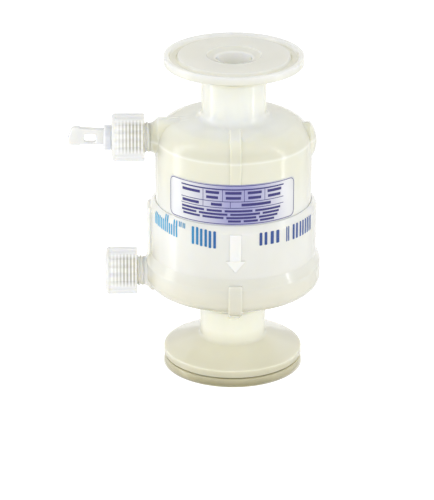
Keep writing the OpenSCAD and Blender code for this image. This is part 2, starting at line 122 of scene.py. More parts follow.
def corner(a, b, c, size, steps):
    """Points of a round corner at b between a and c."""
    a, b, c = Vector(a), Vector(b), Vector(c)
    u, v = (a - b).normalized(), (c - b).normalized()
    half = math.acos(max(-1.0, min(1.0, u.dot(v)))) / 2
    reach = min(size / math.tan(half), 0.49 * (a - b).length, 0.49 * (c - b).length)
    radius = reach * math.tan(half)
    centre = b + (u + v).normalized() * radius / math.sin(half)
    first, last = b + u * reach - centre, b + v * reach - centre
    start = math.atan2(first.y, first.x)
    sweep = (math.atan2(last.y, last.x) - start + 3 * math.pi) % (2 * math.pi) - math.pi
    angles = [start + sweep * i / steps for i in range(steps + 1)]
    return [(centre.x + radius * math.cos(t), centre.y + radius * math.sin(t)) for t in angles]


def rounded(points):
    """Outline whose points are (x, y), or (x, y, rounding)."""
    out = []
    for i, p in enumerate(points):
        if len(p) == 2:
            out.append((p[0], p[1]))
            continue
        before, after = points[i - 1], points[(i + 1) % len(points)]
        count = round(p[2] * 1.6) + ARC_STEPS
        out += corner(before[:2], p[:2], after[:2], p[2], count)
    return out


def flange_points(neck_r, face, up):
    """Flange from its neck to the inner edge of its gasket groove; up is 1 or -1, out of the face."""
    rim = face - up * FLANGE_T
    floor = face - up * GROOVE_DEPTH
    return [
        (neck_r, rim - up * (FLANGE_R - neck_r) * BACK_SLOPE, NECK_FILLET),
        (FLANGE_R, rim, EDGE),
        (FLANGE_R, face, EDGE),
        (GROOVE_OUT_R, face, EDGE),
        (GROOVE_OUT_FLOOR_R, floor, EDGE),
        (GROOVE_IN_FLOOR_R, floor, EDGE),
        (GROOVE_IN_R, face, EDGE),
    ]


def mouth_points(bore_r, face, up):
    """Flared mouth from the flange's face down to the bore."""
    return [
        (MOUTH_R, face, 0.3),
        (MOUTH_STEP_R, face - up * MOUTH_STEP, EDGE),
        (bore_r, face - up * MOUTH_DEPTH, EDGE),
    ]


# Meshes

def new_object(name, bm):
    """Object from a finished bmesh, which is freed."""
    mesh = bpy.data.meshes.new(name)
    bmesh.ops.recalc_face_normals(bm, faces=bm.faces)
    bm.to_mesh(mesh)
    bm.free()
    piece = bpy.data.objects.new(name, mesh)
    bpy.context.scene.collection.objects.link(piece)
    return piece


def bridge(bm, rows, closed=False):
    """Faces between rows of points; the last row joins the first, or else both ends are capped."""
    count = len(rows[0])
    following = rows[1:] + rows[:1] if closed else rows[1:]
    for low, high in zip(rows, following):
        for k in range(count):
            j = (k + 1) % count
            bm.faces.new([low[k], low[j], high[j], high[k]])
    if not closed:
        bm.faces.new(rows[0])
        bm.faces.new(rows[-1])


def lathe(name, points, segs, shape=None):
    """Closed section (r, z) turned about Z; shape(r, z, angle) may give another radius."""
    bm = bmesh.new()
    rings = []
    for r, z in points:
        if r < 1e-6:
            rings.append([bm.verts.new((0, 0, z))])
            continue
        ring = []
        for k in range(segs):
            a = 2 * math.pi * k / segs
            rr = shape(r, z, a) if shape else r
            ring.append(bm.verts.new((rr * math.cos(a), rr * math.sin(a), z)))
        rings.append(ring)
    for i, ring in enumerate(rings):
        other = rings[(i + 1) % len(rings)]
        if len(ring) == 1 and len(other) == 1:
            continue
        for k in range(segs):
            quad = [ring[k % len(ring)], ring[(k + 1) % len(ring)],
                    other[(k + 1) % len(other)], other[k % len(other)]]
            bm.faces.new(list(dict.fromkeys(quad)))
    return new_object(name, bm)


def peg(name, r, low, high, segs):
    """Plain cylinder along Z."""
    return lathe(name, [(0, low), (r, low), (r, high), (0, high)], segs)


def on_port(piece, z):
    """Turn a piece built along Z onto a port: Z points to -X, X points up."""
    piece.data.transform(Matrix.Translation((0, 0, z)) @ Matrix.Rotation(-math.pi / 2, 4, "Y"))
    return piece


def boolean(base, tools, operation):
    """Join the tools to the base or cut them from it, in order, and remove them."""
    for tool in tools:
        mod = base.modifiers.new("join", "BOOLEAN")
        mod.operation = operation
        mod.solver = "EXACT"
        mod.object = tool
    bpy.context.view_layer.update()
    graph = bpy.context.evaluated_depsgraph_get()
    mesh = bpy.data.meshes.new_from_object(base.evaluated_get(graph))
    base.modifiers.clear()
    base.data = mesh
    for tool in tools:
        bpy.data.objects.remove(tool)
    return base


def raised_band(name, stations, sink, edge, turn=0.0):
    """Slab along a skin. A station is (r, z, nr, nz, half width, lift)."""
    bm = bmesh.new()
    rows = []
    spread_across = [-1 + 2 * i / 6 for i in range(7)]
    for r, z, nr, nz, half, lift in stations:
        cut = min(edge, half * 0.45, max(lift, 0.01) * 0.8)
        across = [(-half, -sink), (-half, lift - cut), (-half + 0.3 * cut, lift - 0.3 * cut)]
        across += [(t * (half - cut), lift) for t in spread_across]
        across += [(half - 0.3 * cut, lift - 0.3 * cut), (half, lift - cut), (half, -sink)]
        row = []
        for u, h in across:
            rr, zz = r + h * nr, z + h * nz
            a = u / r + turn
            row.append(bm.verts.new((rr * math.sin(a), -rr * math.cos(a), zz)))
        rows.append(row)
    bridge(bm, rows)
    return new_object(name, bm)


def skin_stations(path, half, lift, edge):
    """Stations along an outline of a skin, rounded off at both ends."""
    tip = 0.01
    out = []
    last = len(path) - 1
    for i, (r, z) in enumerate(path):
        before, after = Vector(path[max(i - 1, 0)]), Vector(path[min(i + 1, last)])
        along = (after - before).normalized()
        normal = Vector((along.y, -along.x))
        out.append((r, z, normal.x, normal.y, half, lift))
    r, z, nr, nz = out[0][:4]
    away = Vector((-nz, nr)) * edge
    first = (r - tip * away.x, z - tip * away.y, nr, nz, half, lift - edge)
    second = (r + away.x, z + away.y, nr, nz, half, lift)
    r, z, nr, nz = out[-1][:4]
    away = Vector((-nz, nr)) * edge
    third = (r - away.x, z - away.y, nr, nz, half, lift)
    fourth = (r + tip * away.x, z + tip * away.y, nr, nz, half, lift - edge)
    return [first, second] + out[1:-1] + [third, fourth]


def tri(x):
    """Thread form: flat-topped wave between -1 and 1."""
    x = x % 1.0
    wave = 4 * abs(x - 0.5) - 1
    return max(-0.8, min(0.8, wave * 1.25)) / 0.8


def fade(z, low, high, ramp):
    """1 between low and high, running out to 0 over the length of a ramp inside each end."""
    return max(0.0, min(1.0, (z - low) / ramp, (high - z) / ramp))


def threaded_stub(name, root_r, reach):
    """Port stub with a flared root and a right-hand thread, along Z."""
    flare = 2.0
    foot, flare_r = root_r - ROOT_SINK, STUB_R + flare
    low, high = root_r + 1.7, reach - 0.3
    section = [(0, foot), (flare_r, foot), (flare_r, root_r - 1)]
    section += corner((flare_r, root_r - 1), (STUB_R, root_r + 1), (STUB_R, reach), flare, 10)
    count = round((high - low) / PITCH * 12)
    section += [(STUB_R, low + (high - low) * i / count) for i in range(count + 1)]
    section += [(STUB_R - 0.1, reach - 0.06), (STUB_R - 0.4, reach), (0, reach)]

    def shape(r, z, a):
        if r > STUB_R + 0.4 or z < low - 0.2 or z > high + 0.1:
            return r
        wave = tri(z / PITCH - a / (2 * math.pi))
        return r + THREAD_HALF * wave * fade(z, low, high, 0.7)

    return lathe(name, section, 96, shape)


def set_mm(piece):
    """Turn a piece built in millimetres to metres."""
    piece.data.transform(Matrix.Scale(MM, 4))
    return piece


def smooth(piece, angle=32.0):
    """Smooth shading, with edges over the angle kept sharp."""
    mesh = piece.data
    mesh.polygons.foreach_set("use_smooth", [True] * len(mesh.polygons))
    mesh.set_sharp_from_angle(angle=math.radians(angle))
    mesh.update()
    return piece


# Colours. Bands are (height in millimetres, colour); masks and tints are millimetres, from none to full

OLIVE = (0.81, 0.80, 0.67)
# Painted light: the paler colours of the crown and the necks stand in for light through their walls.
PALE_PAINTED_LIGHT = (0.98, 0.97, 0.86)
CREAM_PAINTED_LIGHT = (0.955, 0.94, 0.81)
# Painted shade on the back and rim of the inlet flange.
FLANGE_PAINTED_SHADE = (0.74, 0.725, 0.60)
# Painted light that brightens the shaded bores and port stubs.
BORE_PAINTED_LIGHT = (1.0, 0.985, 0.88)
# Painted light on the raised arrow and pad of the sleeve.
RAISED_PAINTED_LIGHT = (0.92, 0.92, 0.88)
WHITE = (1.0, 1.0, 1.0)
# Painted shade on the rounded closed end of the vent nut and the drain cap.
NUT_END_PAINTED_SHADE = (0.72, 0.72, 0.70)
# Painted light on the vent nut's collar, which lies in shade.
COLLAR_PAINTED_LIGHT = (0.98, 0.975, 0.95)
# Painted image of a thread seen through a clear nut: shaded roots and lit crests.
THREAD_ROOT_PAINTED_SHADE = (0.55, 0.53, 0.45)
THREAD_CREST_PAINTED_LIGHT = (0.97, 0.97, 0.96)
SUBSURFACE_TINT = (1.0, 0.92, 0.72)
# The housing's colour by height: its own ivory-olive tone, with painted light and shade in it. Painted
# shade at the foot of the outlet flange (0 to 7 mm), under the bowl (23 mm), on the dome's front (85.4 to
# 87.5 mm) and on the back of the inlet flange (111 to 113.5 mm); a painted highlight line along the
# shoulder (84.8 mm); painted light in the necks and on the crown (12 to 20 and 92 to 106.5 mm).
NATURAL_TONE_AND_PAINTED_LIGHT = [
    (0.0, (0.67, 0.635, 0.485)), (3.0, (0.78, 0.76, 0.62)), (7.0, (0.80, 0.78, 0.64)),
    (12.0, CREAM_PAINTED_LIGHT), (20.0, CREAM_PAINTED_LIGHT), (23.0, (0.73, 0.705, 0.58)),
    (30.0, (0.75, 0.73, 0.61)), (34.5, (0.79, 0.77, 0.66)), (37.0, (0.77, 0.76, 0.67)),
    (40.8, (0.78, 0.775, 0.70)), (42.0, (0.82, 0.815, 0.76)), (60.0, (0.85, 0.85, 0.80)),
    (76.0, OLIVE), (84.2, OLIVE), (84.8, (0.90, 0.90, 0.82)), (85.4, (0.74, 0.73, 0.60)),
    (87.5, (0.76, 0.75, 0.62)), (90.3, (0.86, 0.85, 0.73)), (92.0, PALE_PAINTED_LIGHT),
    (97.0, CREAM_PAINTED_LIGHT), (106.5, CREAM_PAINTED_LIGHT), (111.0, FLANGE_PAINTED_SHADE), (113.5, FLANGE_PAINTED_SHADE),
    (116.0, (0.86, 0.855, 0.785)),
]
NATURAL_DEPTHS = [(0.0, 0.5), (17.0, 0.5), (23.0, 0.2), (90.0, 0.2), (96.0, 2.4), (116.0, 2.4)]
# Masks of the painted light in the bores, on the port stubs and on the raised arrow and pad.
BORE_LIGHT_MASK = (7.6, 6.8)
PORT_LIGHT_MASK = (-30.2, -31.2)
RAISED_LIGHT_MASK_R, RAISED_LIGHT_MASK_Z = (30.6, 30.85), (41.8, 42.6)
TINT_LEFT, TINT_RIGHT = (-17.0, -3.0), (19.0, 5.0)
COAT_ROUGH = 0.12
FINE_RELIEF = 0.00001
CLOUD_SCALE, GLOSS_SCALE, WAVE_SCALE, GRAIN_SCALE, INK_SCALE = 70.0, 160.0, 90.0, 2600.0, 1800.0
# Facing at which the painted shade of surfaces seen edge-on starts and is full.
EDGE_SHADE_FROM, EDGE_SHADE_TO = 0.56, 0.97
# Facing at which the painted thread image starts and is full.
THREAD_NONE, THREAD_FULL = 0.32, 0.14


# Materials

def principled(name):
    """New material with a principled shader: the material, its node tree and the shader."""
    mat = bpy.data.materials.new(name)
    mat.use_nodes = True
    tree = mat.node_tree
    tree.nodes.clear()
    out = tree.nodes.new("ShaderNodeOutputMaterial")
    shader = tree.nodes.new("ShaderNodeBsdfPrincipled")
    tree.links.new(shader.outputs["BSDF"], out.inputs["Surface"])
    return mat, tree, shader


def noise(tree, scale, detail):
    """Noise of a scale over the piece."""
    spot = tree.nodes.new("ShaderNodeTexCoord")
    node = tree.nodes.new("ShaderNodeTexNoise")
    node.inputs["Scale"].default_value = scale
    node.inputs["Detail"].default_value = detail
    node.inputs["Roughness"].default_value = 0.5
    tree.links.new(spot.outputs["Object"], node.inputs["Vector"])
    return node.outputs["Fac"]


def ramp(tree, source, low, high, first=0.35, last=0.65):
    """Colour that runs from low to high between two values of its source."""
    node = tree.nodes.new("ShaderNodeValToRGB")
    node.color_ramp.elements[0].position = first
    node.color_ramp.elements[1].position = last
    node.color_ramp.elements[0].color = (*low, 1.0)
    node.color_ramp.elements[1].color = (*high, 1.0)
    tree.links.new(source, node.inputs["Fac"])
    return node.outputs["Color"]


def spread(tree, source, low, high):
    """Noise spread out between two values."""
    node = tree.nodes.new("ShaderNodeMapRange")
    node.inputs["From Min"].default_value = 0.3
    node.inputs["From Max"].default_value = 0.7
    node.inputs["To Min"].default_value = low
    node.inputs["To Max"].default_value = high
    tree.links.new(source, node.inputs["Value"])
    return node.outputs["Result"]


def bump(tree, source, strength, distance, below=None):
    """Normal with a relief from its source, over another normal if there is one."""
    node = tree.nodes.new("ShaderNodeBump")
    node.inputs["Strength"].default_value = strength
    node.inputs["Distance"].default_value = distance
    tree.links.new(source, node.inputs["Height"])
    if below:
        tree.links.new(below, node.inputs["Normal"])
    return node.outputs["Normal"]


def position(tree):
    """Place on the piece, split into X, Y and Z."""
    spot = tree.nodes.new("ShaderNodeTexCoord")
    split = tree.nodes.new("ShaderNodeSeparateXYZ")
    tree.links.new(spot.outputs["Object"], split.inputs["Vector"])
    return split


def banded(tree, stops):
    """Colour by height: stops are (millimetres, colour)."""
    split = position(tree)
    share = tree.nodes.new("ShaderNodeMapRange")
    share.inputs["From Max"].default_value = TOP_Z * MM
    tree.links.new(split.outputs["Z"], share.inputs["Value"])
    node = tree.nodes.new("ShaderNodeValToRGB")
    marks = node.color_ramp.elements
    while len(marks) < len(stops):
        marks.new(0.5)
    for mark, (z, colour) in zip(marks, stops):
        mark.position = z / TOP_Z
        mark.color = (*colour, 1.0)
    tree.links.new(share.outputs["Result"], node.inputs["Fac"])
    return node.outputs["Color"]


def masked(tree, axis, low, high, shift=(0.0, 0.0)):
    """Share from 0 at low to 1 at high, by X or Z, or by the distance from a shifted axis."""
    split = position(tree)
    share = tree.nodes.new("ShaderNodeMapRange")
    share.inputs["From Min"].default_value = low * MM
    share.inputs["From Max"].default_value = high * MM
    if axis == "R":
        flat = tree.nodes.new("ShaderNodeCombineXYZ")
        reach = tree.nodes.new("ShaderNodeVectorMath")
        reach.operation = "DISTANCE"
        reach.inputs[1].default_value = (-shift[0] * MM, -shift[1] * MM, 0.0)
        tree.links.new(split.outputs["X"], flat.inputs["X"])
        tree.links.new(split.outputs["Y"], flat.inputs["Y"])
        tree.links.new(flat.outputs["Vector"], reach.inputs[0])
        tree.links.new(reach.outputs["Value"], share.inputs["Value"])
    else:
        tree.links.new(split.outputs[axis], share.inputs["Value"])
    return share.outputs["Result"]


def joined(tree, operation, first, second):
    """Two values joined by a math operation."""
    node = tree.nodes.new("ShaderNodeMath")
    node.operation = operation
    tree.links.new(first, node.inputs[0])
    tree.links.new(second, node.inputs[1])
    return node.outputs["Value"]


def lifted(tree, colour, mask, to):
    """Colour that goes over to another one under a mask."""
    node = tree.nodes.new("ShaderNodeMix")
    node.data_type = "RGBA"
    node.inputs["B"].default_value = (*to, 1.0)
    tree.links.new(mask, node.inputs["Factor"])
    tree.links.new(colour, node.inputs["A"])
    return node.outputs["Result"]


def times(tree, first, second, share=None):
    """Two colours multiplied, in full or by a share."""
    node = tree.nodes.new("ShaderNodeMix")
    node.data_type = "RGBA"
    node.blend_type = "MULTIPLY"
    node.inputs["Factor"].default_value = 1.0
    if share:
        tree.links.new(share, node.inputs["Factor"])
    tree.links.new(first, node.inputs["A"])
    tree.links.new(second, node.inputs["B"])
    return node.outputs["Result"]


def thread_lines(tree, axis_z, outer, inner):
    """Painted image of a thread seen through the middle of a nut, with shaded roots and lit crests: its
    colour and share, fading to its outer end.
    """
    spot = tree.nodes.new("ShaderNodeTexCoord")
    turns = tree.nodes.new("ShaderNodeTexWave")
    turns.bands_direction = "X"
    turns.inputs["Scale"].default_value = math.pi / (10 * PITCH * MM)
    tree.links.new(spot.outputs["Object"], turns.inputs["Vector"])
    lines = ramp(tree, turns.outputs["Fac"], THREAD_ROOT_PAINTED_SHADE, THREAD_CREST_PAINTED_LIGHT, 0.3, 0.7)
    radial = tree.nodes.new("ShaderNodeMapping")
    radial.inputs["Location"].default_value = (0.0, 0.0, -axis_z * MM)
    radial.inputs["Scale"].default_value = (0.0, 1.0, 1.0)
    tree.links.new(spot.outputs["Object"], radial.inputs["Vector"])
    turned = tree.nodes.new("ShaderNodeVectorTransform")
    turned.vector_type = "NORMAL"
    turned.convert_from = "OBJECT"
    turned.convert_to = "WORLD"
    tree.links.new(radial.outputs["Vector"], turned.inputs["Vector"])
    across = tree.nodes.new("ShaderNodeLayerWeight")
    across.inputs["Blend"].default_value = 0.5
    tree.links.new(turned.outputs["Vector"], across.inputs["Normal"])
    middle = tree.nodes.new("ShaderNodeMapRange")
    middle.inputs["From Min"].default_value = THREAD_NONE
    middle.inputs["From Max"].default_value = THREAD_FULL
    tree.links.new(across.outputs["Facing"], middle.inputs["Value"])
    share = joined(tree, "MULTIPLY", middle.outputs["Result"], masked(tree, "X", outer, inner))
    return lines, share


def moulded(name, low, high, rough, grain=GRAIN_SCALE, depth=0.00002, subsurface=0.0, radius=0.0015,
            stops=None, depths=None, rim=None, coat=0.0, painted_bore_light=None, thread=None, lifts=()):
    """Moulded plastic: cloudy colour, uneven gloss, faint grain and waviness.

    Colour: stops are its bands, which hold painted light and shade; the bore colour is painted light in
    bores and ports; thread is (axis height, from, to) of painted lines of a thread seen through the wall;
    lifts are (axis, from, to, colour) of painted light and shade, and rim is the painted shade of surfaces
    seen edge-on.
    """
    mat, tree, shader = principled(name)
    colour = ramp(tree, noise(tree, CLOUD_SCALE, 2.0), low, high)
    if stops:
        colour = times(tree, banded(tree, stops), colour)
    # Painted light in the bores and port stubs, and on the raised arrow and pad of the sleeve.
    if painted_bore_light:
        bores = masked(tree, "R", *BORE_LIGHT_MASK)
        ports = masked(tree, "X", *PORT_LIGHT_MASK)
        above_rim = masked(tree, "Z", *RAISED_LIGHT_MASK_Z)
        raised_light = joined(tree, "MULTIPLY", masked(tree, "R", *RAISED_LIGHT_MASK_R), above_rim)
        colour = lifted(tree, colour, joined(tree, "MAXIMUM", bores, ports), painted_bore_light)
        colour = lifted(tree, colour, raised_light, RAISED_PAINTED_LIGHT)
    # Painted lines of a thread seen through the nut's wall.
    if thread:
        colour = times(tree, colour, *thread_lines(tree, *thread))
    for axis, low_end, high_end, value in lifts:
        colour = lifted(tree, colour, masked(tree, axis, low_end, high_end), value)
    # Painted shade: surfaces seen edge-on are darkened towards the outline.
    if rim:
        edge = tree.nodes.new("ShaderNodeLayerWeight")
        edge.inputs["Blend"].default_value = 0.5
        edge_on_shade = ramp(tree, edge.outputs["Facing"], WHITE, rim, EDGE_SHADE_FROM, EDGE_SHADE_TO)
        colour = times(tree, colour, edge_on_shade)
    tree.links.new(colour, shader.inputs["Base Color"])
    gloss = spread(tree, noise(tree, GLOSS_SCALE, 2.0), rough - 0.04, rough + 0.05)
    tree.links.new(gloss, shader.inputs["Roughness"])
    wave = bump(tree, noise(tree, WAVE_SCALE, 1.0), 0.2, 0.0003)
    fine = bump(tree, noise(tree, grain, 2.0), 0.35, depth, wave)
    tree.links.new(fine, shader.inputs["Normal"])
    shader.inputs["IOR"].default_value = 1.49
    shader.inputs["Subsurface Weight"].default_value = subsurface
    shader.inputs["Subsurface Radius"].default_value = SUBSURFACE_TINT
    shader.inputs["Subsurface Scale"].default_value = radius
    if depths:
        scale = tree.nodes.new("ShaderNodeMath")
        scale.operation = "MULTIPLY"
        scale.inputs[1].default_value = radius
        by_height = banded(tree, [(z, (v, v, v)) for z, v in depths])
        tree.links.new(by_height, scale.inputs[0])
        tree.links.new(scale.outputs["Value"], shader.inputs["Subsurface Scale"])
    shader.inputs["Coat Weight"].default_value = coat
    shader.inputs["Coat Roughness"].default_value = COAT_ROUGH
    return mat


def label_stock(name, margin, middle):
    """Clear label film, tinted by its print between the margins."""
    mat, tree, shader = principled(name)
    colour = ramp(tree, noise(tree, CLOUD_SCALE, 2.0), margin, WHITE)
    printed = joined(tree, "MULTIPLY", masked(tree, "X", *TINT_LEFT), masked(tree, "X", *TINT_RIGHT))
    tree.links.new(lifted(tree, colour, printed, middle), shader.inputs["Base Color"])
    gloss = spread(tree, noise(tree, GLOSS_SCALE, 2.0), 0.3, 0.38)
    tree.links.new(gloss, shader.inputs["Roughness"])
    grain = bump(tree, noise(tree, GRAIN_SCALE, 2.0), 0.3, FINE_RELIEF)
    tree.links.new(grain, shader.inputs["Normal"])
    shader.inputs["Coat Weight"].default_value = 1.0
    shader.inputs["Coat Roughness"].default_value = COAT_ROUGH
    shader.inputs["Alpha"].default_value = 0.7
    return mat


def ink(name, left, right, span):
    """Printed ink whose colour runs across a span in metres, with a slightly uneven film."""
    mat, tree, shader = principled(name)
    across = tree.nodes.new("ShaderNodeMapRange")
    across.inputs["From Min"].default_value = span[0]
    across.inputs["From Max"].default_value = span[1]
    tree.links.new(position(tree).outputs["X"], across.inputs["Value"])
    colour = ramp(tree, across.outputs["Result"], left, right, 0.0, 1.0)
    tree.links.new(colour, shader.inputs["Base Color"])
    uneven = noise(tree, INK_SCALE, 3.0)
    tree.links.new(spread(tree, uneven, 0.35, 0.5), shader.inputs["Roughness"])
    tree.links.new(bump(tree, uneven, 0.2, FINE_RELIEF), shader.inputs["Normal"])
    return mat


# The housing: painted light and shade in its bands, painted light in its bores, port stubs and raised arrow
# and pad, painted shade on surfaces seen edge-on.
natural = moulded("natural_polypropylene", (0.97, 0.97, 0.96), WHITE, 0.38, subsurface=1.0, radius=0.005,
                  rim=(0.71, 0.70, 0.63), coat=1.0, painted_bore_light=BORE_PAINTED_LIGHT,
                  stops=NATURAL_TONE_AND_PAINTED_LIGHT, depths=NATURAL_DEPTHS)
CLEAR = {"low": (0.93, 0.93, 0.905), "high": (0.97, 0.97, 0.95), "rough": 0.36, "subsurface": 1.0,
         "radius": 0.003, "depth": FINE_RELIEF, "coat": 1.0}
# The vent nut: a painted thread seen through it, painted shade on its closed end and painted light on its
# collar.
vent_clear = moulded("vent_nut_polypropylene", thread=(VENT_Z, -44.0, -37.5),
                     lifts=[("X", -42.5, -43.3, NUT_END_PAINTED_SHADE), ("X", -44.2, -44.6, COLLAR_PAINTED_LIGHT)], **CLEAR)
# The drain cap: a painted thread seen through it and painted shade on its closed end.
drain_clear = moulded("drain_cap_polypropylene", thread=(DRAIN_Z, -46.5, -39.5),
                      lifts=[("X", -44.7, -45.5, NUT_END_PAINTED_SHADE)], **CLEAR)
# The valve: painted shade on surfaces seen edge-on.
valve = moulded("valve_polypropylene", (0.77, 0.77, 0.76), (0.81, 0.81, 0.80), 0.36, subsurface=1.0,
                radius=0.002, depth=FINE_RELIEF, rim=(0.72, 0.72, 0.70), coat=1.0)
film = label_stock("label_film", (0.95, 0.955, 0.98), (0.47, 0.47, 0.78))
cartridge = moulded("cartridge_polypropylene", (0.82, 0.82, 0.79), (0.86, 0.86, 0.83), 0.42)
silicone = moulded("silicone", (0.70, 0.70, 0.66), (0.75, 0.75, 0.71), 0.45, subsurface=0.5, radius=0.0008)
fleece = moulded("pleat_fleece", (0.78, 0.78, 0.75), (0.88, 0.88, 0.85), 0.75, grain=5200.0, depth=0.00008)
membrane = moulded("filter_membrane", (0.88, 0.88, 0.86), (0.91, 0.91, 0.89), 0.6, grain=9000.0,
                   depth=0.00003)
navy_ink = ink("navy_ink", (0.035, 0.03, 0.19), (0.035, 0.03, 0.17), (-0.03, 0.03))
word_ink = ink("blue_ink", (0.03, 0.45, 0.72), (0.02, 0.11, 0.36), (-0.029, -0.006))
code_ink = ink("deep_blue_ink", (0.03, 0.075, 0.27), (0.04, 0.10, 0.33), (0.008, 0.03))


def paint(piece, mat):
    """Give a piece or a node one material."""
    piece.data.materials.clear()
    piece.data.materials.append(mat)
    return piece


def place(piece, body, mat, replaced=None):
    """Paint a piece, let it ride on its body and hide the node it replaces."""
    paint(piece, mat)
    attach(piece, body)
    if replaced:
        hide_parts(replaced)
    return piece


# Head

inner_r = BARREL_R - WALL
drop = WALL / math.cos(CROWN_ANGLE)
bore_z = 100.0
inner_corner = (inner_r, CORNER_Z + WALL * CROWN_SLOPE - drop, SHOULDER_R - WALL)
head_outer = rounded([
    (inner_r, RIM_HI + SEAT),
    (BARREL_R, RIM_HI + SEAT, EDGE),
    (BARREL_R, CORNER_Z, SHOULDER_R),
    (INLET_NECK_R, CROWN_Z, 3.0),
    *flange_points(INLET_NECK_R, TOP_Z, 1),
    *mouth_points(INLET_BORE_R, TOP_Z, 1),
    (INLET_BORE_R, bore_z),
])
head_inner = rounded([
    (INLET_BORE_R, bore_z + 1),
    (INLET_BORE_R, CORNER_Z + (BARREL_R - INLET_BORE_R) * CROWN_SLOPE - drop, EDGE),
    inner_corner,
    (inner_r, RIM_HI + SEAT),
])[1:-1]
head = lathe("head_shell", head_outer[1:] + head_inner + [(inner_r, RIM_HI + SEAT)], SHELL_SEGS)

vent_stub = on_port(threaded_stub("vent_stub", BARREL_R, VENT_REACH), VENT_Z)
dome_z = BARREL_R + BLANK_LIFT - BLANK_DOME_R
dome_turn = math.asin(BLANK_R / BLANK_DOME_R)
dome = []
for i in range(15):
    angle = dome_turn * (1 - i / 14)
    dome.append((BLANK_DOME_R * math.sin(angle), dome_z + BLANK_DOME_R * math.cos(angle)))
blank = lathe("blank", [(0, BARREL_R - ROOT_SINK), (BLANK_R, BARREL_R - ROOT_SINK)] + dome, 72)
on_port(blank, BLANK_Z)
blank.data.transform(Matrix.Rotation(math.pi, 4, "Z"))
strip_path = [(BARREL_R, LABEL_TOP + 0.1)]
strip_path += [p for p in head_outer[1:] if p[0] > STRIP_END_R + 0.25 and LABEL_TOP < p[1] < TOP_Z - 20]
strip_path.append((STRIP_END_R, CORNER_Z + (BARREL_R - STRIP_END_R) * CROWN_SLOPE))
strip_stations = skin_stations(strip_path, STRIP_HALF, BAND_LIFT, SOFT_EDGE)
head_strip = raised_band("head_strip", strip_stations, BAND_SINK, SOFT_EDGE)
boolean(head, [vent_stub, blank, head_strip], "UNION")
vent_bore = peg("vent_bore", VENT_BORE_R, VENT_BORE_FROM, VENT_BORE_TO, 48)
ceiling_z = CORNER_Z + (BARREL_R - INLET_BORE_R - 1.0) * CROWN_SLOPE - drop - 0.05
hollow = lathe("hollow", rounded([
    (0, RIM_HI - 2),
    (inner_r, RIM_HI - 2),
    inner_corner,
    (INLET_BORE_R + 1.0, ceiling_z),
    (0, ceiling_z),
]), SHELL_SEGS)
boolean(head, [on_port(vent_bore, VENT_Z), hollow], "DIFFERENCE")
place(smooth(set_mm(head)), "capsule", natural, "inlet_head")


# Bowl

RIB_FRONT = RIM_R + 0.6
RIB_FOOT_R = OUTLET_NECK_R + 4.0
RIB_FOOT_Z = BOWL_Z + 4.0 * math.tan(BOWL_ANGLE) - 2.2
RIB_FOOT_HALF = 1.8
RIB_WIDENS = 0.7


def gusset(name, profile, edge):
    """Rib in front of the axis from its outline (r, z), narrower at its foot, with softened edges."""
    count = len(profile)
    inset = []
    for i, p in enumerate(profile):
        before, after = Vector(profile[i - 1]), Vector(profile[(i + 1) % count])
        along = (after - before).normalized()
        inset.append((p[0] - along.y * edge, p[1] + along.x * edge))
    bm = bmesh.new()
    rows = []
    for side, loop, back in ((-1, inset, 0.0), (-1, profile, edge), (1, profile, edge), (1, inset, 0.0)):
        row = []
        for r, z in loop:
            share = max(0.0, min(1.0, (r - RIB_FOOT_R) / (RIB_FRONT - RIB_FOOT_R)))
            row.append(bm.verts.new((side * (RIB_FOOT_HALF + RIB_WIDENS * share - back), -r, z)))
        rows.append(row)
    bridge(bm, rows)
    return new_object(name, bm)


bowl_outer = rounded([
    (SOCKET_R, SLEEVE_TOP),
    (SLEEVE_EDGE_R, SLEEVE_TOP),
    (SLEEVE_R, SLEEVE_TAPER_Z, 0.8),
    (SLEEVE_R, RIM_HI, 0.8),
    (RIM_R, RIM_HI - RIM_TAPER, 1.6),
    (RIM_R, RIM_LO, 4.5),
    (OUTLET_NECK_R, BOWL_Z, 1.5),
    *flange_points(OUTLET_NECK_R, 0.0, -1),
    *mouth_points(OUTLET_BORE_R, 0.0, -1),
    (OUTLET_BORE_R, BOWL_Z - 3),
])
ledge_r = BARREL_R - 1.0
spigot_z = BOWL_Z - 3


def floor_at(r):
    """Height of the bowl's inner floor."""
    return BOWL_Z + (r - OUTLET_NECK_R) * math.tan(BOWL_ANGLE) + WALL / math.cos(BOWL_ANGLE)


def on_sleeve(name, rows, edge, turn=0.0):
    """Raised form on the sleeve from rows of (z, half width, lift)."""
    return raised_band(name, [(SLEEVE_R, z, 1, 0, w, h) for z, w, h in rows], BAND_SINK, edge, turn)


ledge_corner = (ledge_r, floor_at(ledge_r), 2.3)
bowl_inner = rounded([
    (OUTLET_BORE_R, spigot_z),
    (SPIGOT_HOLE_R, spigot_z),
    (SPIGOT_HOLE_R, floor_at(SPIGOT_HOLE_R)),
    ledge_corner,
    (ledge_r, RIM_HI),
    (SOCKET_R, RIM_HI),
    (SOCKET_R, SLEEVE_TOP),
])[1:-1]
bowl = lathe("bowl_shell", bowl_outer + bowl_inner, SHELL_SEGS)
drain_stub = on_port(threaded_stub("drain_stub", RIM_R - 1, DRAIN_REACH), DRAIN_Z)

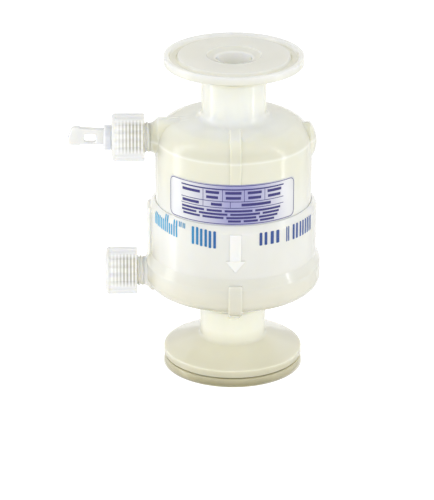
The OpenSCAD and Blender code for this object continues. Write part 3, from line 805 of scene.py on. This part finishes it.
ARROW_LEN, ARROW_HALF, SHAFT_HALF = 4.3, 3.55, 2.1
tip = RIM_HI + 3.0
neck = tip + ARROW_LEN
shaft_from, shaft_len = neck + 0.35, SLEEVE_TAPER_Z - 0.4 - neck - 0.35
arrow_rows = [(tip, 0.1, 0.3), (tip + 0.4, 0.45, BAND_LIFT)]
arrow_rows += [(tip + ARROW_LEN * t, ARROW_HALF * t, BAND_LIFT) for t in (0.25, 0.4, 0.55, 0.7, 0.85, 0.97)]
arrow_rows += [(neck, 3.5, 0.45), (neck + 0.06, SHAFT_HALF, 0.45), (shaft_from, SHAFT_HALF, BAND_LIFT)]
arrow_rows += [(shaft_from + shaft_len * t / 5, SHAFT_HALF, BAND_LIFT) for t in range(1, 6)]
arrow_rows += [(SLEEVE_TAPER_Z - 0.05, SHAFT_HALF, 0.35)]
arrow = on_sleeve("arrow", arrow_rows, 0.22)

PAD_HALF, PAD_LIFT = 4.5, 1.1
pad_rows = [(RIM_HI - 0.6, PAD_HALF, PAD_LIFT)]
pad_rows += [(RIM_HI + 1 + (SLEEVE_TAPER_Z - 1.4 - RIM_HI) * t / 5, PAD_HALF, PAD_LIFT) for t in range(6)]
pad_rows += [(SLEEVE_TAPER_Z - 0.1, PAD_HALF, 0.8)]
pad = on_sleeve("pad", pad_rows, 0.3, -math.pi / 2)

rib_top = RIM_HI - RIM_TAPER / 2
rib = gusset("rib", rounded([
    (OUTLET_NECK_R, RIB_FOOT_Z),
    (RIB_FOOT_R, RIB_FOOT_Z, EDGE),
    (RIB_FRONT, RIM_LO - 1.2, 4.5),
    (RIB_FRONT, rib_top, EDGE),
    (OUTLET_NECK_R, rib_top),
]), SOFT_EDGE)
boolean(bowl, [drain_stub, arrow, pad, rib], "UNION")
drain_bore = peg("drain_bore", DRAIN_BORE_R, DRAIN_BORE_FROM, DRAIN_BORE_TO, 40)
hollow_floor = floor_at(SPIGOT_HOLE_R + 1.0) + 0.05
bowl_hollow = lathe("bowl_hollow", rounded([
    (0, RIM_HI - 0.05),
    (ledge_r, RIM_HI - 0.05),
    ledge_corner,
    (SPIGOT_HOLE_R + 1.0, hollow_floor),
    (0, hollow_floor),
]), SHELL_SEGS)
boolean(bowl, [on_port(drain_bore, DRAIN_Z), bowl_hollow], "DIFFERENCE")
place(smooth(set_mm(bowl)), "capsule", natural, "outlet_bowl")


# Nut, cap and plug

FLUTES = 16
FLUTE_R = 1
FLUTE_OUT = 0.45
FLUTE_SOFT = 0.0012
THREAD_DEEP = 0.45
END_WALL = 2.2
LEAD_IN = 0.5


def fluted(low, high):
    """Radius of a nut's skin with grip flutes between low and high."""
    def shape(r, z, a):
        if r < NUT_R - 1.3:
            return r
        step = 2 * math.pi / FLUTES
        off = (a / step) % 1.0 - 0.5
        t = NUT_R * math.sin(off * step)
        deep = math.sqrt(max(0.0, FLUTE_R ** 2 - t * t)) - FLUTE_OUT
        soft = math.sqrt(deep * deep + FLUTE_SOFT) / 2 + deep / 2
        return r - soft * fade(z, low, high, 0.6)
    return shape


def nut_skin(end, crown):
    """Outer section of a nut from its open end to the edge of its end face."""
    open_end = end - NUT_LEN
    outer = rounded([
        (NUT_BORE_R + LEAD_IN, open_end),
        (NUT_R, open_end, EDGE),
        (NUT_R, end - crown, 1.2),
        (COLLAR_R, end),
    ])
    skin = []
    for a, b in zip(outer, outer[1:]):
        skin.append(a)
        if abs(a[0] - NUT_R) < 1e-6 and abs(b[0] - NUT_R) < 1e-6:
            skin += [(NUT_R, a[1] + (b[1] - a[1]) * i / 16) for i in range(1, 16)]
    return skin + [outer[-1]]


def bore_wall(open_end, floor):
    """Threaded bore from its floor back to its open end."""
    count = round((floor - open_end) / PITCH * 10)
    points = [(NUT_BORE_R, floor + (open_end + LEAD_IN - floor) * i / count) for i in range(count + 1)]
    return points + [(NUT_BORE_R + LEAD_IN, open_end)]


def nut_shape(open_end, floor, low, high):
    """Radius of a nut with its thread inside and its flutes outside."""
    skin = fluted(low, high)

    def shape(r, z, a):
        if abs(r - NUT_BORE_R) < 1e-6:
            wave = 0.5 + 0.5 * tri(z / PITCH - a / (2 * math.pi))
            return r + THREAD_DEEP * wave * fade(z, open_end + 0.8, floor - 1.2, 0.8)
        return skin(r, z, a)
    return shape


vent_floor = VENT_REACH + 1.7
vent_end = vent_floor + END_WALL
collar_end = vent_end + 2.6
open_end = vent_end - NUT_LEN
collar = rounded([
    (COLLAR_R, vent_end + 0.01),
    (COLLAR_R, collar_end, EDGE),
    (STEM_R + 0.1, collar_end, 0.2),
    (STEM_R + 0.1, vent_floor),
])[1:]
vent_section = nut_skin(vent_end, 0.4) + collar + bore_wall(open_end, vent_floor)
vent_nut = lathe("vent_nut_fluted", vent_section, NUT_SEGS,
                 nut_shape(open_end, vent_floor, open_end + 0.1, vent_end - 1.2))
place(smooth(set_mm(on_port(vent_nut, VENT_Z))), "vent_nut", vent_clear, "vent_nut")

drain_floor = DRAIN_REACH + 1.6
drain_end = drain_floor + END_WALL
open_end = drain_end - NUT_LEN
skin = nut_skin(drain_end, 0.9)[:-1]
edge_r, edge_z = skin[-1]
dome = [(edge_r * (1 - t / 10), drain_end - (drain_end - edge_z) * (1 - t / 10) ** 2) for t in range(1, 10)]
cap_section = skin + dome + [(0, drain_end), (0, drain_floor)] + bore_wall(open_end, drain_floor)
drain_cap = lathe("drain_cap_fluted", cap_section, NUT_SEGS,
                  nut_shape(open_end, drain_floor, open_end + 0.1, drain_end - 1.7))
place(smooth(set_mm(on_port(drain_cap, DRAIN_Z))), "drain_cap", drain_clear,
      "drain_cap")

NOSE_R, RING_FLOOR_R, PLUG_HEAD_R = 2.95, 2.0, 5.3
RING_HALF = 0.85
nose_lo = VENT_REACH - 6.4
ring_z = VENT_REACH - 3.2
head_lo, head_hi = VENT_REACH + 0.05, VENT_REACH + 1.65
tab_from = vent_end + 2.9
plug = lathe("vent_plug_body", rounded([
    (0, nose_lo),
    (NOSE_R, nose_lo, EDGE),
    (NOSE_R, ring_z - RING_HALF),
    (RING_FLOOR_R, ring_z - RING_HALF),
    (RING_FLOOR_R, ring_z + RING_HALF),
    (NOSE_R, ring_z + RING_HALF),
    (NOSE_R, head_lo),
    (PLUG_HEAD_R, head_lo),
    (PLUG_HEAD_R, head_hi),
    (STEM_R, head_hi),
    (STEM_R, tab_from, 0.3),
    (0, tab_from),
]), 64)


def plate(name, outlines, thickness, edge):
    """Plate with rounded edges, from outlines in local X and Z; later outlines are holes."""
    curve = bpy.data.curves.new(name, "CURVE")
    curve.dimensions = "2D"
    curve.fill_mode = "BOTH"
    curve.extrude = thickness / 2 - edge
    curve.bevel_depth = edge
    curve.bevel_resolution = 3
    curve.offset = -edge
    for outline in outlines:
        spline = curve.splines.new("POLY")
        spline.points.add(len(outline) - 1)
        for point, (x, y) in zip(spline.points, outline):
            point.co = (x, y, 0, 1)
        spline.use_cyclic_u = True
    maker = bpy.data.objects.new(name, curve)
    bpy.context.scene.collection.objects.link(maker)
    bpy.context.view_layer.update()
    graph = bpy.context.evaluated_depsgraph_get()
    mesh = bpy.data.meshes.new_from_object(maker.evaluated_get(graph))
    bpy.data.objects.remove(maker)
    bm = bmesh.new()
    bm.from_mesh(mesh)
    bpy.data.meshes.remove(mesh)
    bmesh.ops.remove_doubles(bm, verts=bm.verts, dist=1e-4)
    bmesh.ops.transform(bm, matrix=Matrix.Rotation(math.pi / 2, 4, "X"), verts=bm.verts)
    return new_object(name, bm)


TAB_RISE = 0.75
TAB_ROOT_X, TAB_ROOT_HALF = 0.375, 2.7
NECK_HALF, GRIP_HALF = 3.0, 3.3
WINDOW_HALF, WINDOW_CORNER = 1.6, 0.8
tab_root = tab_from - 1.2
grip_from, grip_to = tab_from + 8.3, tab_from + 13.6
window_lo, window_hi = tab_from + 2.6, tab_from + 7.0
tab_outline = rounded([
    (TAB_ROOT_X - TAB_ROOT_HALF, tab_root),
    (TAB_ROOT_X + TAB_ROOT_HALF, tab_root),
    (TAB_RISE + NECK_HALF, grip_from, 0.8),
    (TAB_RISE + GRIP_HALF, grip_from + 0.3, 0.4),
    (TAB_RISE + GRIP_HALF, grip_to - 2.3, 2.0),
    (TAB_RISE - GRIP_HALF, grip_to, 1.6),
    (TAB_RISE - GRIP_HALF, grip_from + 0.3, 0.4),
    (TAB_RISE - NECK_HALF, grip_from, 0.8),
])
window = rounded([
    (-WINDOW_HALF, window_lo, WINDOW_CORNER),
    (WINDOW_HALF, window_lo, WINDOW_CORNER),
    (WINDOW_HALF, window_hi, WINDOW_CORNER),
    (-WINDOW_HALF, window_hi, WINDOW_CORNER),
])
tab = plate("tab", [tab_outline, window], 2.5, 0.35)
boolean(plug, [tab], "UNION")
place(smooth(set_mm(on_port(plug, VENT_Z))), "vent_valve", valve, "vent_plug")


# Print, as thin curved films

INK = 0.04
PRINT_IN, PRINT_OUT = LABEL_R - 0.02, LABEL_R + INK
SLEEVE_INK_IN, SLEEVE_INK_OUT = 0.03, 0.05


def wrap(u, z, r, turn):
    """Point on a cylinder at an arc length from the front, turned by degrees."""
    a = u / r + math.radians(turn)
    return (r * math.sin(a), -r * math.cos(a), z)


def label_bar(bm, u0, u1, z0, z1):
    """Bar on the label between two arc lengths and two heights."""
    section = ((PRINT_IN, z0), (PRINT_OUT, z0), (PRINT_OUT, z1), (PRINT_IN, z1))
    count = max(1, math.ceil((u1 - u0) / 0.8))
    rows = []
    for i in range(count + 1):
        u = u0 + (u1 - u0) * i / count
        rows.append([bm.verts.new(wrap(u, z, r, LABEL_TURN)) for r, z in section])
    bridge(bm, rows)


def label_frame(bm, outer, inner):
    """Closed line on the label between two matching loops."""
    rows = []
    for (ou, oz), (iu, iz) in zip(outer, inner):
        section = ((ou, oz, PRINT_IN), (ou, oz, PRINT_OUT), (iu, iz, PRINT_OUT), (iu, iz, PRINT_IN))
        rows.append([bm.verts.new(wrap(u, z, r, LABEL_TURN)) for u, z, r in section])
    bridge(bm, rows, closed=True)


def label_outline(inset):
    """Label's outline with round corners, inset, in steps of about a millimetre."""
    half = LABEL_W / 2 - inset
    low, high = LABEL_LO + inset, LABEL_TOP - inset
    size = LABEL_CORNER - inset
    out = []
    loop = rounded([(-half, low, size), (half, low, size), (half, high, size), (-half, high, size)])
    for i, p in enumerate(loop):
        q = loop[(i + 1) % len(loop)]
        count = max(1, round(math.dist(p, q)))
        out += [(p[0] + (q[0] - p[0]) * k / count, p[1] + (q[1] - p[1]) * k / count) for k in range(count)]
    return out


# The label's grid of plain bars: lines, columns, fields of the table and rows below it
GRID_TOP, GRID_MID, GRID_LOW = 75.2, 70.6, 68.2
GRID_LEFT, GRID_RIGHT = -19.5, 20.0
TOP_HALF, LINE_HALF, COLUMN_HALF = 0.25, 0.12, 0.1
FIELD_HALF, ROW_HALF = 0.52, 0.4
COLUMNS = [-10.4, -3.2, 4.6, 12.2]
LOW_COLUMNS = [-10.4, -0.4]
FIELDS = [
    (-19.0, -11.6, 73.6), (-9.4, -4.4, 73.9), (-9.2, -4.8, 72.0), (-2.2, 3.6, 73.9), (-2.0, 3.4, 72.0),
    (5.8, 11.0, 73.9), (6.0, 10.8, 72.0), (13.2, 19.0, 73.9), (13.4, 18.6, 72.0),
    (-19.0, -12.0, 69.4), (-7.4, -3.4, 69.4), (3.6, 14.6, 69.4),
]
ROWS = [
    (67.0, ((-19.2, -10.0), (-9.0, -3.4), (-2.4, 7.6), (8.6, 18.6))),
    (65.7, ((-19.2, -13.0), (-12.0, -1.4), (-0.4, 10.4), (11.4, 18.0))),
    (64.4, ((-18.6, -11.6), (-10.6, -2.8), (-1.8, 9.0), (10.0, 17.4))),
    (63.15, ((-1.2, 3.4), (4.4, 9.6), (10.4, 16.0))),
]
bm = bmesh.new()
label_frame(bm, label_outline(0.25), label_outline(0.5))
for z, half in ((GRID_TOP, TOP_HALF), (GRID_MID, LINE_HALF), (GRID_LOW, LINE_HALF)):
    label_bar(bm, GRID_LEFT, GRID_RIGHT, z - half, z + half)
for u in COLUMNS:
    label_bar(bm, u - COLUMN_HALF, u + COLUMN_HALF, GRID_MID + LINE_HALF, GRID_TOP - TOP_HALF)
for u in LOW_COLUMNS:
    label_bar(bm, u - COLUMN_HALF, u + COLUMN_HALF, GRID_LOW + LINE_HALF, GRID_MID - LINE_HALF)
for u0, u1, z in FIELDS:
    label_bar(bm, u0, u1, z - FIELD_HALF, z + FIELD_HALF)
for z, runs in ROWS:
    for u0, u1 in runs:
        label_bar(bm, u0, u1, z - ROW_HALF, z + ROW_HALF)
label_print = new_object("label_print", bm)
place(set_mm(label_print), "capsule", navy_ink)


def sleeve_skin(z):
    """Radius of the sleeve, whose top is tapered."""
    share = max(0.0, (z - SLEEVE_TAPER_Z) / (SLEEVE_TOP - SLEEVE_TAPER_Z))
    return SLEEVE_R + (SLEEVE_EDGE_R - SLEEVE_R) * share


def stroke(bm, u0, u1, z0, z1):
    """Upright bar of print on the sleeve, with clipped corners."""
    clip = 0.2
    marks = [(z0, clip), (z0 + clip, 0.0), (z1 - clip, 0.0), (z1, clip)]
    if z0 + clip < SLEEVE_TAPER_Z < z1 - clip:
        marks.insert(2, (SLEEVE_TAPER_Z, 0.0))
    rows = []
    for z, inset in marks:
        inner, outer = sleeve_skin(z) - SLEEVE_INK_IN, sleeve_skin(z) + SLEEVE_INK_OUT
        left, right = u0 + inset, u1 - inset
        section = ((left, inner), (right, inner), (right, outer), (left, outer))
        rows.append([bm.verts.new(wrap(u, z, r, 0)) for u, r in section])
    bridge(bm, rows)


def bar_print(name, marks, slope, mat):
    """Row of paired bars: (middle, width, low, high), rising by slope along the sleeve."""
    bm = bmesh.new()
    for u, width, z0, z1 in marks:
        rise = slope * u
        bar = 0.36 * width
        stroke(bm, u - width / 2, u - width / 2 + bar, z0 + rise, z1 + rise)
        stroke(bm, u + width / 2 - bar, u + width / 2, z0 + rise, z1 + rise)
    return place(set_mm(new_object(name, bm)), "capsule", mat)


WORD_SLOPE = -0.09
word_marks = [(-36.0 + 2.45 * i, 1.9, 52.4, 58.4 if i in (3, 5) else 56.6) for i in range(6)]
word_marks += [(u, 1.1, 57.0, 58.7) for u in (-21.4, -19.7)]
word_marks += [(u, 2.7, 52.4, 58.8) for u in (-15.0, -11.7, -8.4)]
bar_print("sleeve_print_left", word_marks, WORD_SLOPE, word_ink)
code_marks = [(u, width, 54.0, 58.9) for u, width in ((10.2, 3.0), (14.8, 3.6))]
code_marks += [(u, width, 53.5, 59.2) for u, width in (
    (20.4, 1.4), (24.2, 2.8), (27.9, 2.5), (31.1, 2.3), (33.8, 1.8))]
bar_print("sleeve_print_right", code_marks, 0.0, code_ink)


# Nodes that stay as they are

for node, mat in (("rating_label", film), ("vent_o_ring", silicone), ("drain_seal", silicone),
                  ("upper_end_cap", cartridge), ("lower_end_cap", cartridge), ("outer_cage", cartridge),
                  ("inner_core", cartridge), ("upstream_fleece", fleece), ("membrane", membrane),
                  ("downstream_fleece", fleece)):
    paint(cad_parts[node], mat)


# Floor, light and camera

FLOOR_TONE = (0.95, 0.95, 0.95, 1)
FLOOR_GLOW = 0.38
FLOOR_DROP = 0.0001
# Painted shadow below the outlet flange: a glossy spot on the floor, shifted towards the front, whose
# mirror colour darkens away from the flange.
MIRROR_SHADOW_SPAN = (25.3, 30.5)
MIRROR_SHADOW_NEAR, MIRROR_SHADOW_FAR = (0.92, 0.905, 0.82), (0.46, 0.44, 0.35)
MIRROR_SHADOW_EDGE, MIRROR_SHADOW_SHIFT = (25.5, 25.1), (0.2, 7.1)
SKY_TONE = (0.99, 0.995, 1.0, 1)
SKY_LOW, SKY_HIGH = 2.2, 0.2
SKY_FRONT, SKY_BACK = 1.09, 0.6

def background_rays(tree):
    """1 for the rays that show the white background: camera, glossy and transmission rays."""
    rays = tree.nodes.new("ShaderNodeLightPath")
    seen = joined(tree, "MAXIMUM", rays.outputs["Is Camera Ray"], rays.outputs["Is Glossy Ray"])
    return joined(tree, "MAXIMUM", seen, rays.outputs["Is Transmission Ray"])


def floor_material():
    """Pale floor that shows white, with a glossy spot that mirrors the outlet flange's rim and darkens
    outwards as a painted shadow.
    """
    mat, tree, shader = principled("pale_floor")
    shader.inputs["Base Color"].default_value = FLOOR_TONE
    shader.inputs["Roughness"].default_value = 0.12
    shader.inputs["IOR"].default_value = 1.45
    glow = tree.nodes.new("ShaderNodeEmission")
    glow.inputs["Color"].default_value = (1, 1, 1, 1)
    add = tree.nodes.new("ShaderNodeAddShader")
    scale = tree.nodes.new("ShaderNodeMath")
    scale.operation = "MULTIPLY"
    scale.inputs[1].default_value = FLOOR_GLOW
    tree.links.new(background_rays(tree), scale.inputs[0])
    tree.links.new(scale.outputs["Value"], glow.inputs["Strength"])
    tree.links.new(shader.outputs["BSDF"], add.inputs[0])
    tree.links.new(glow.outputs["Emission"], add.inputs[1])
    # Painted shadow: the glossy spot's colour runs from near the flange to dark.
    mirror_shadow = tree.nodes.new("ShaderNodeBsdfGlossy")
    shadow_tint = ramp(tree, masked(tree, "R", *MIRROR_SHADOW_SPAN), MIRROR_SHADOW_NEAR, MIRROR_SHADOW_FAR, 0.0, 1.0)
    tree.links.new(shadow_tint, mirror_shadow.inputs["Color"])
    mirror_shadow.inputs["Roughness"].default_value = 0.04
    spot = tree.nodes.new("ShaderNodeMixShader")
    tree.links.new(masked(tree, "R", *MIRROR_SHADOW_EDGE, MIRROR_SHADOW_SHIFT), spot.inputs["Fac"])
    tree.links.new(add.outputs["Shader"], spot.inputs[1])
    tree.links.new(mirror_shadow.outputs["BSDF"], spot.inputs[2])
    out = next(n for n in tree.nodes if n.type == "OUTPUT_MATERIAL")
    tree.links.new(spot.outputs["Shader"], out.inputs["Surface"])
    return mat


bm = bmesh.new()
bmesh.ops.create_grid(bm, x_segments=8, y_segments=8, size=3.0)
floor = new_object("floor", bm)
floor.location.z = -FLOOR_DROP
paint(floor, floor_material())

# World: white where it is seen; its soft light is stronger from the front and near the horizon
world = bpy.data.worlds.new("studio")
bpy.context.scene.world = world
world.use_nodes = True
tree = world.node_tree
tree.nodes.clear()
out = tree.nodes.new("ShaderNodeOutputWorld")
back = tree.nodes.new("ShaderNodeBackground")
soft = tree.nodes.new("ShaderNodeBackground")
mix = tree.nodes.new("ShaderNodeMixShader")
back.inputs["Color"].default_value = (1, 1, 1, 1)
back.inputs["Strength"].default_value = 1.0
soft.inputs["Color"].default_value = SKY_TONE
sky = tree.nodes.new("ShaderNodeTexCoord")
split = tree.nodes.new("ShaderNodeSeparateXYZ")
by_height = tree.nodes.new("ShaderNodeMapRange")
by_height.inputs["To Min"].default_value = SKY_LOW
by_height.inputs["To Max"].default_value = SKY_HIGH
by_depth = tree.nodes.new("ShaderNodeMapRange")
by_depth.inputs["From Min"].default_value = -1.0
by_depth.inputs["To Min"].default_value = SKY_FRONT
by_depth.inputs["To Max"].default_value = SKY_BACK
strength = joined(tree, "MULTIPLY", by_height.outputs["Result"], by_depth.outputs["Result"])
tree.links.new(sky.outputs["Generated"], split.inputs["Vector"])
tree.links.new(split.outputs["Z"], by_height.inputs["Value"])
tree.links.new(split.outputs["Y"], by_depth.inputs["Value"])
tree.links.new(strength, soft.inputs["Strength"])
tree.links.new(background_rays(tree), mix.inputs["Fac"])
tree.links.new(soft.outputs["Background"], mix.inputs[1])
tree.links.new(back.outputs["Background"], mix.inputs[2])
tree.links.new(mix.outputs["Shader"], out.inputs["Surface"])


def softbox(name, spot, target, width, height, power, gleam=False):
    """Area lamp; a gleam shows only in gloss."""
    light = bpy.data.lights.new(name, "AREA")
    light.shape = "RECTANGLE"
    light.size = width
    light.size_y = height
    light.energy = power
    lamp = bpy.data.objects.new(name, light)
    lamp.location = spot
    lamp.rotation_euler = (Vector(target) - Vector(spot)).to_track_quat("-Z", "Y").to_euler()
    lamp.visible_camera = False
    lamp.visible_diffuse = not gleam
    bpy.context.scene.collection.objects.link(lamp)
    return lamp


# Each softbox is a weak lamp and a gleam: hand, place, width, height, power of the lamp and of the gleam
for hand, spot, width, height, power, shine in (
        ("left", (-0.129, -0.0145, 0.125), 0.03, 0.25, 0.038, 0.05),
        ("right", (0.125, -0.05, 0.137), 0.005, 0.226, 0.018, 0.026)):
    softbox(hand + "_softbox", spot, (0, 0, spot[2]), width, height, power)
    softbox(hand + "_gleam", spot, (0, 0, spot[2]), width, height, shine, True)

# Camera fitted to the photograph: the point AIM falls on pixel (AIM_X, AIM_Y) of its frame
AIM = Vector((0, 0, 0.058))
DISTANCE = 1.2
AZIMUTH = math.radians(-1.7)
ELEVATION = math.radians(21.8)
FOCAL_PX = 3290.0
FRAME_W, FRAME_H = 434, 500
AIM_X, AIM_Y = 233.0, 205.05
ROLL = math.radians(0.29)
SENSOR = 36.0

camera_data = bpy.data.cameras.new("camera")
camera_data.sensor_fit = "VERTICAL"
camera_data.sensor_height = SENSOR
camera_data.lens = FOCAL_PX * SENSOR / FRAME_H
camera_data.clip_start = 0.01
camera_data.clip_end = 20.0
camera = bpy.data.objects.new("camera", camera_data)
away = Vector((math.sin(AZIMUTH) * math.cos(ELEVATION),
               -math.cos(AZIMUTH) * math.cos(ELEVATION),
               math.sin(ELEVATION)))
turn = (-away).to_track_quat("-Z", "Y").to_matrix().to_4x4()
roll = Matrix.Rotation(ROLL, 4, "Z")
yaw = Matrix.Rotation(math.atan((AIM_X - FRAME_W / 2) / FOCAL_PX), 4, "Y")
pitch = Matrix.Rotation(-math.atan((FRAME_H / 2 - AIM_Y) / FOCAL_PX), 4, "X")
camera.matrix_world = Matrix.Translation(AIM + away * DISTANCE) @ turn @ yaw @ pitch @ roll
bpy.context.scene.collection.objects.link(camera)
bpy.context.scene.camera = camera
bpy.context.scene.view_settings.view_transform = "Standard"
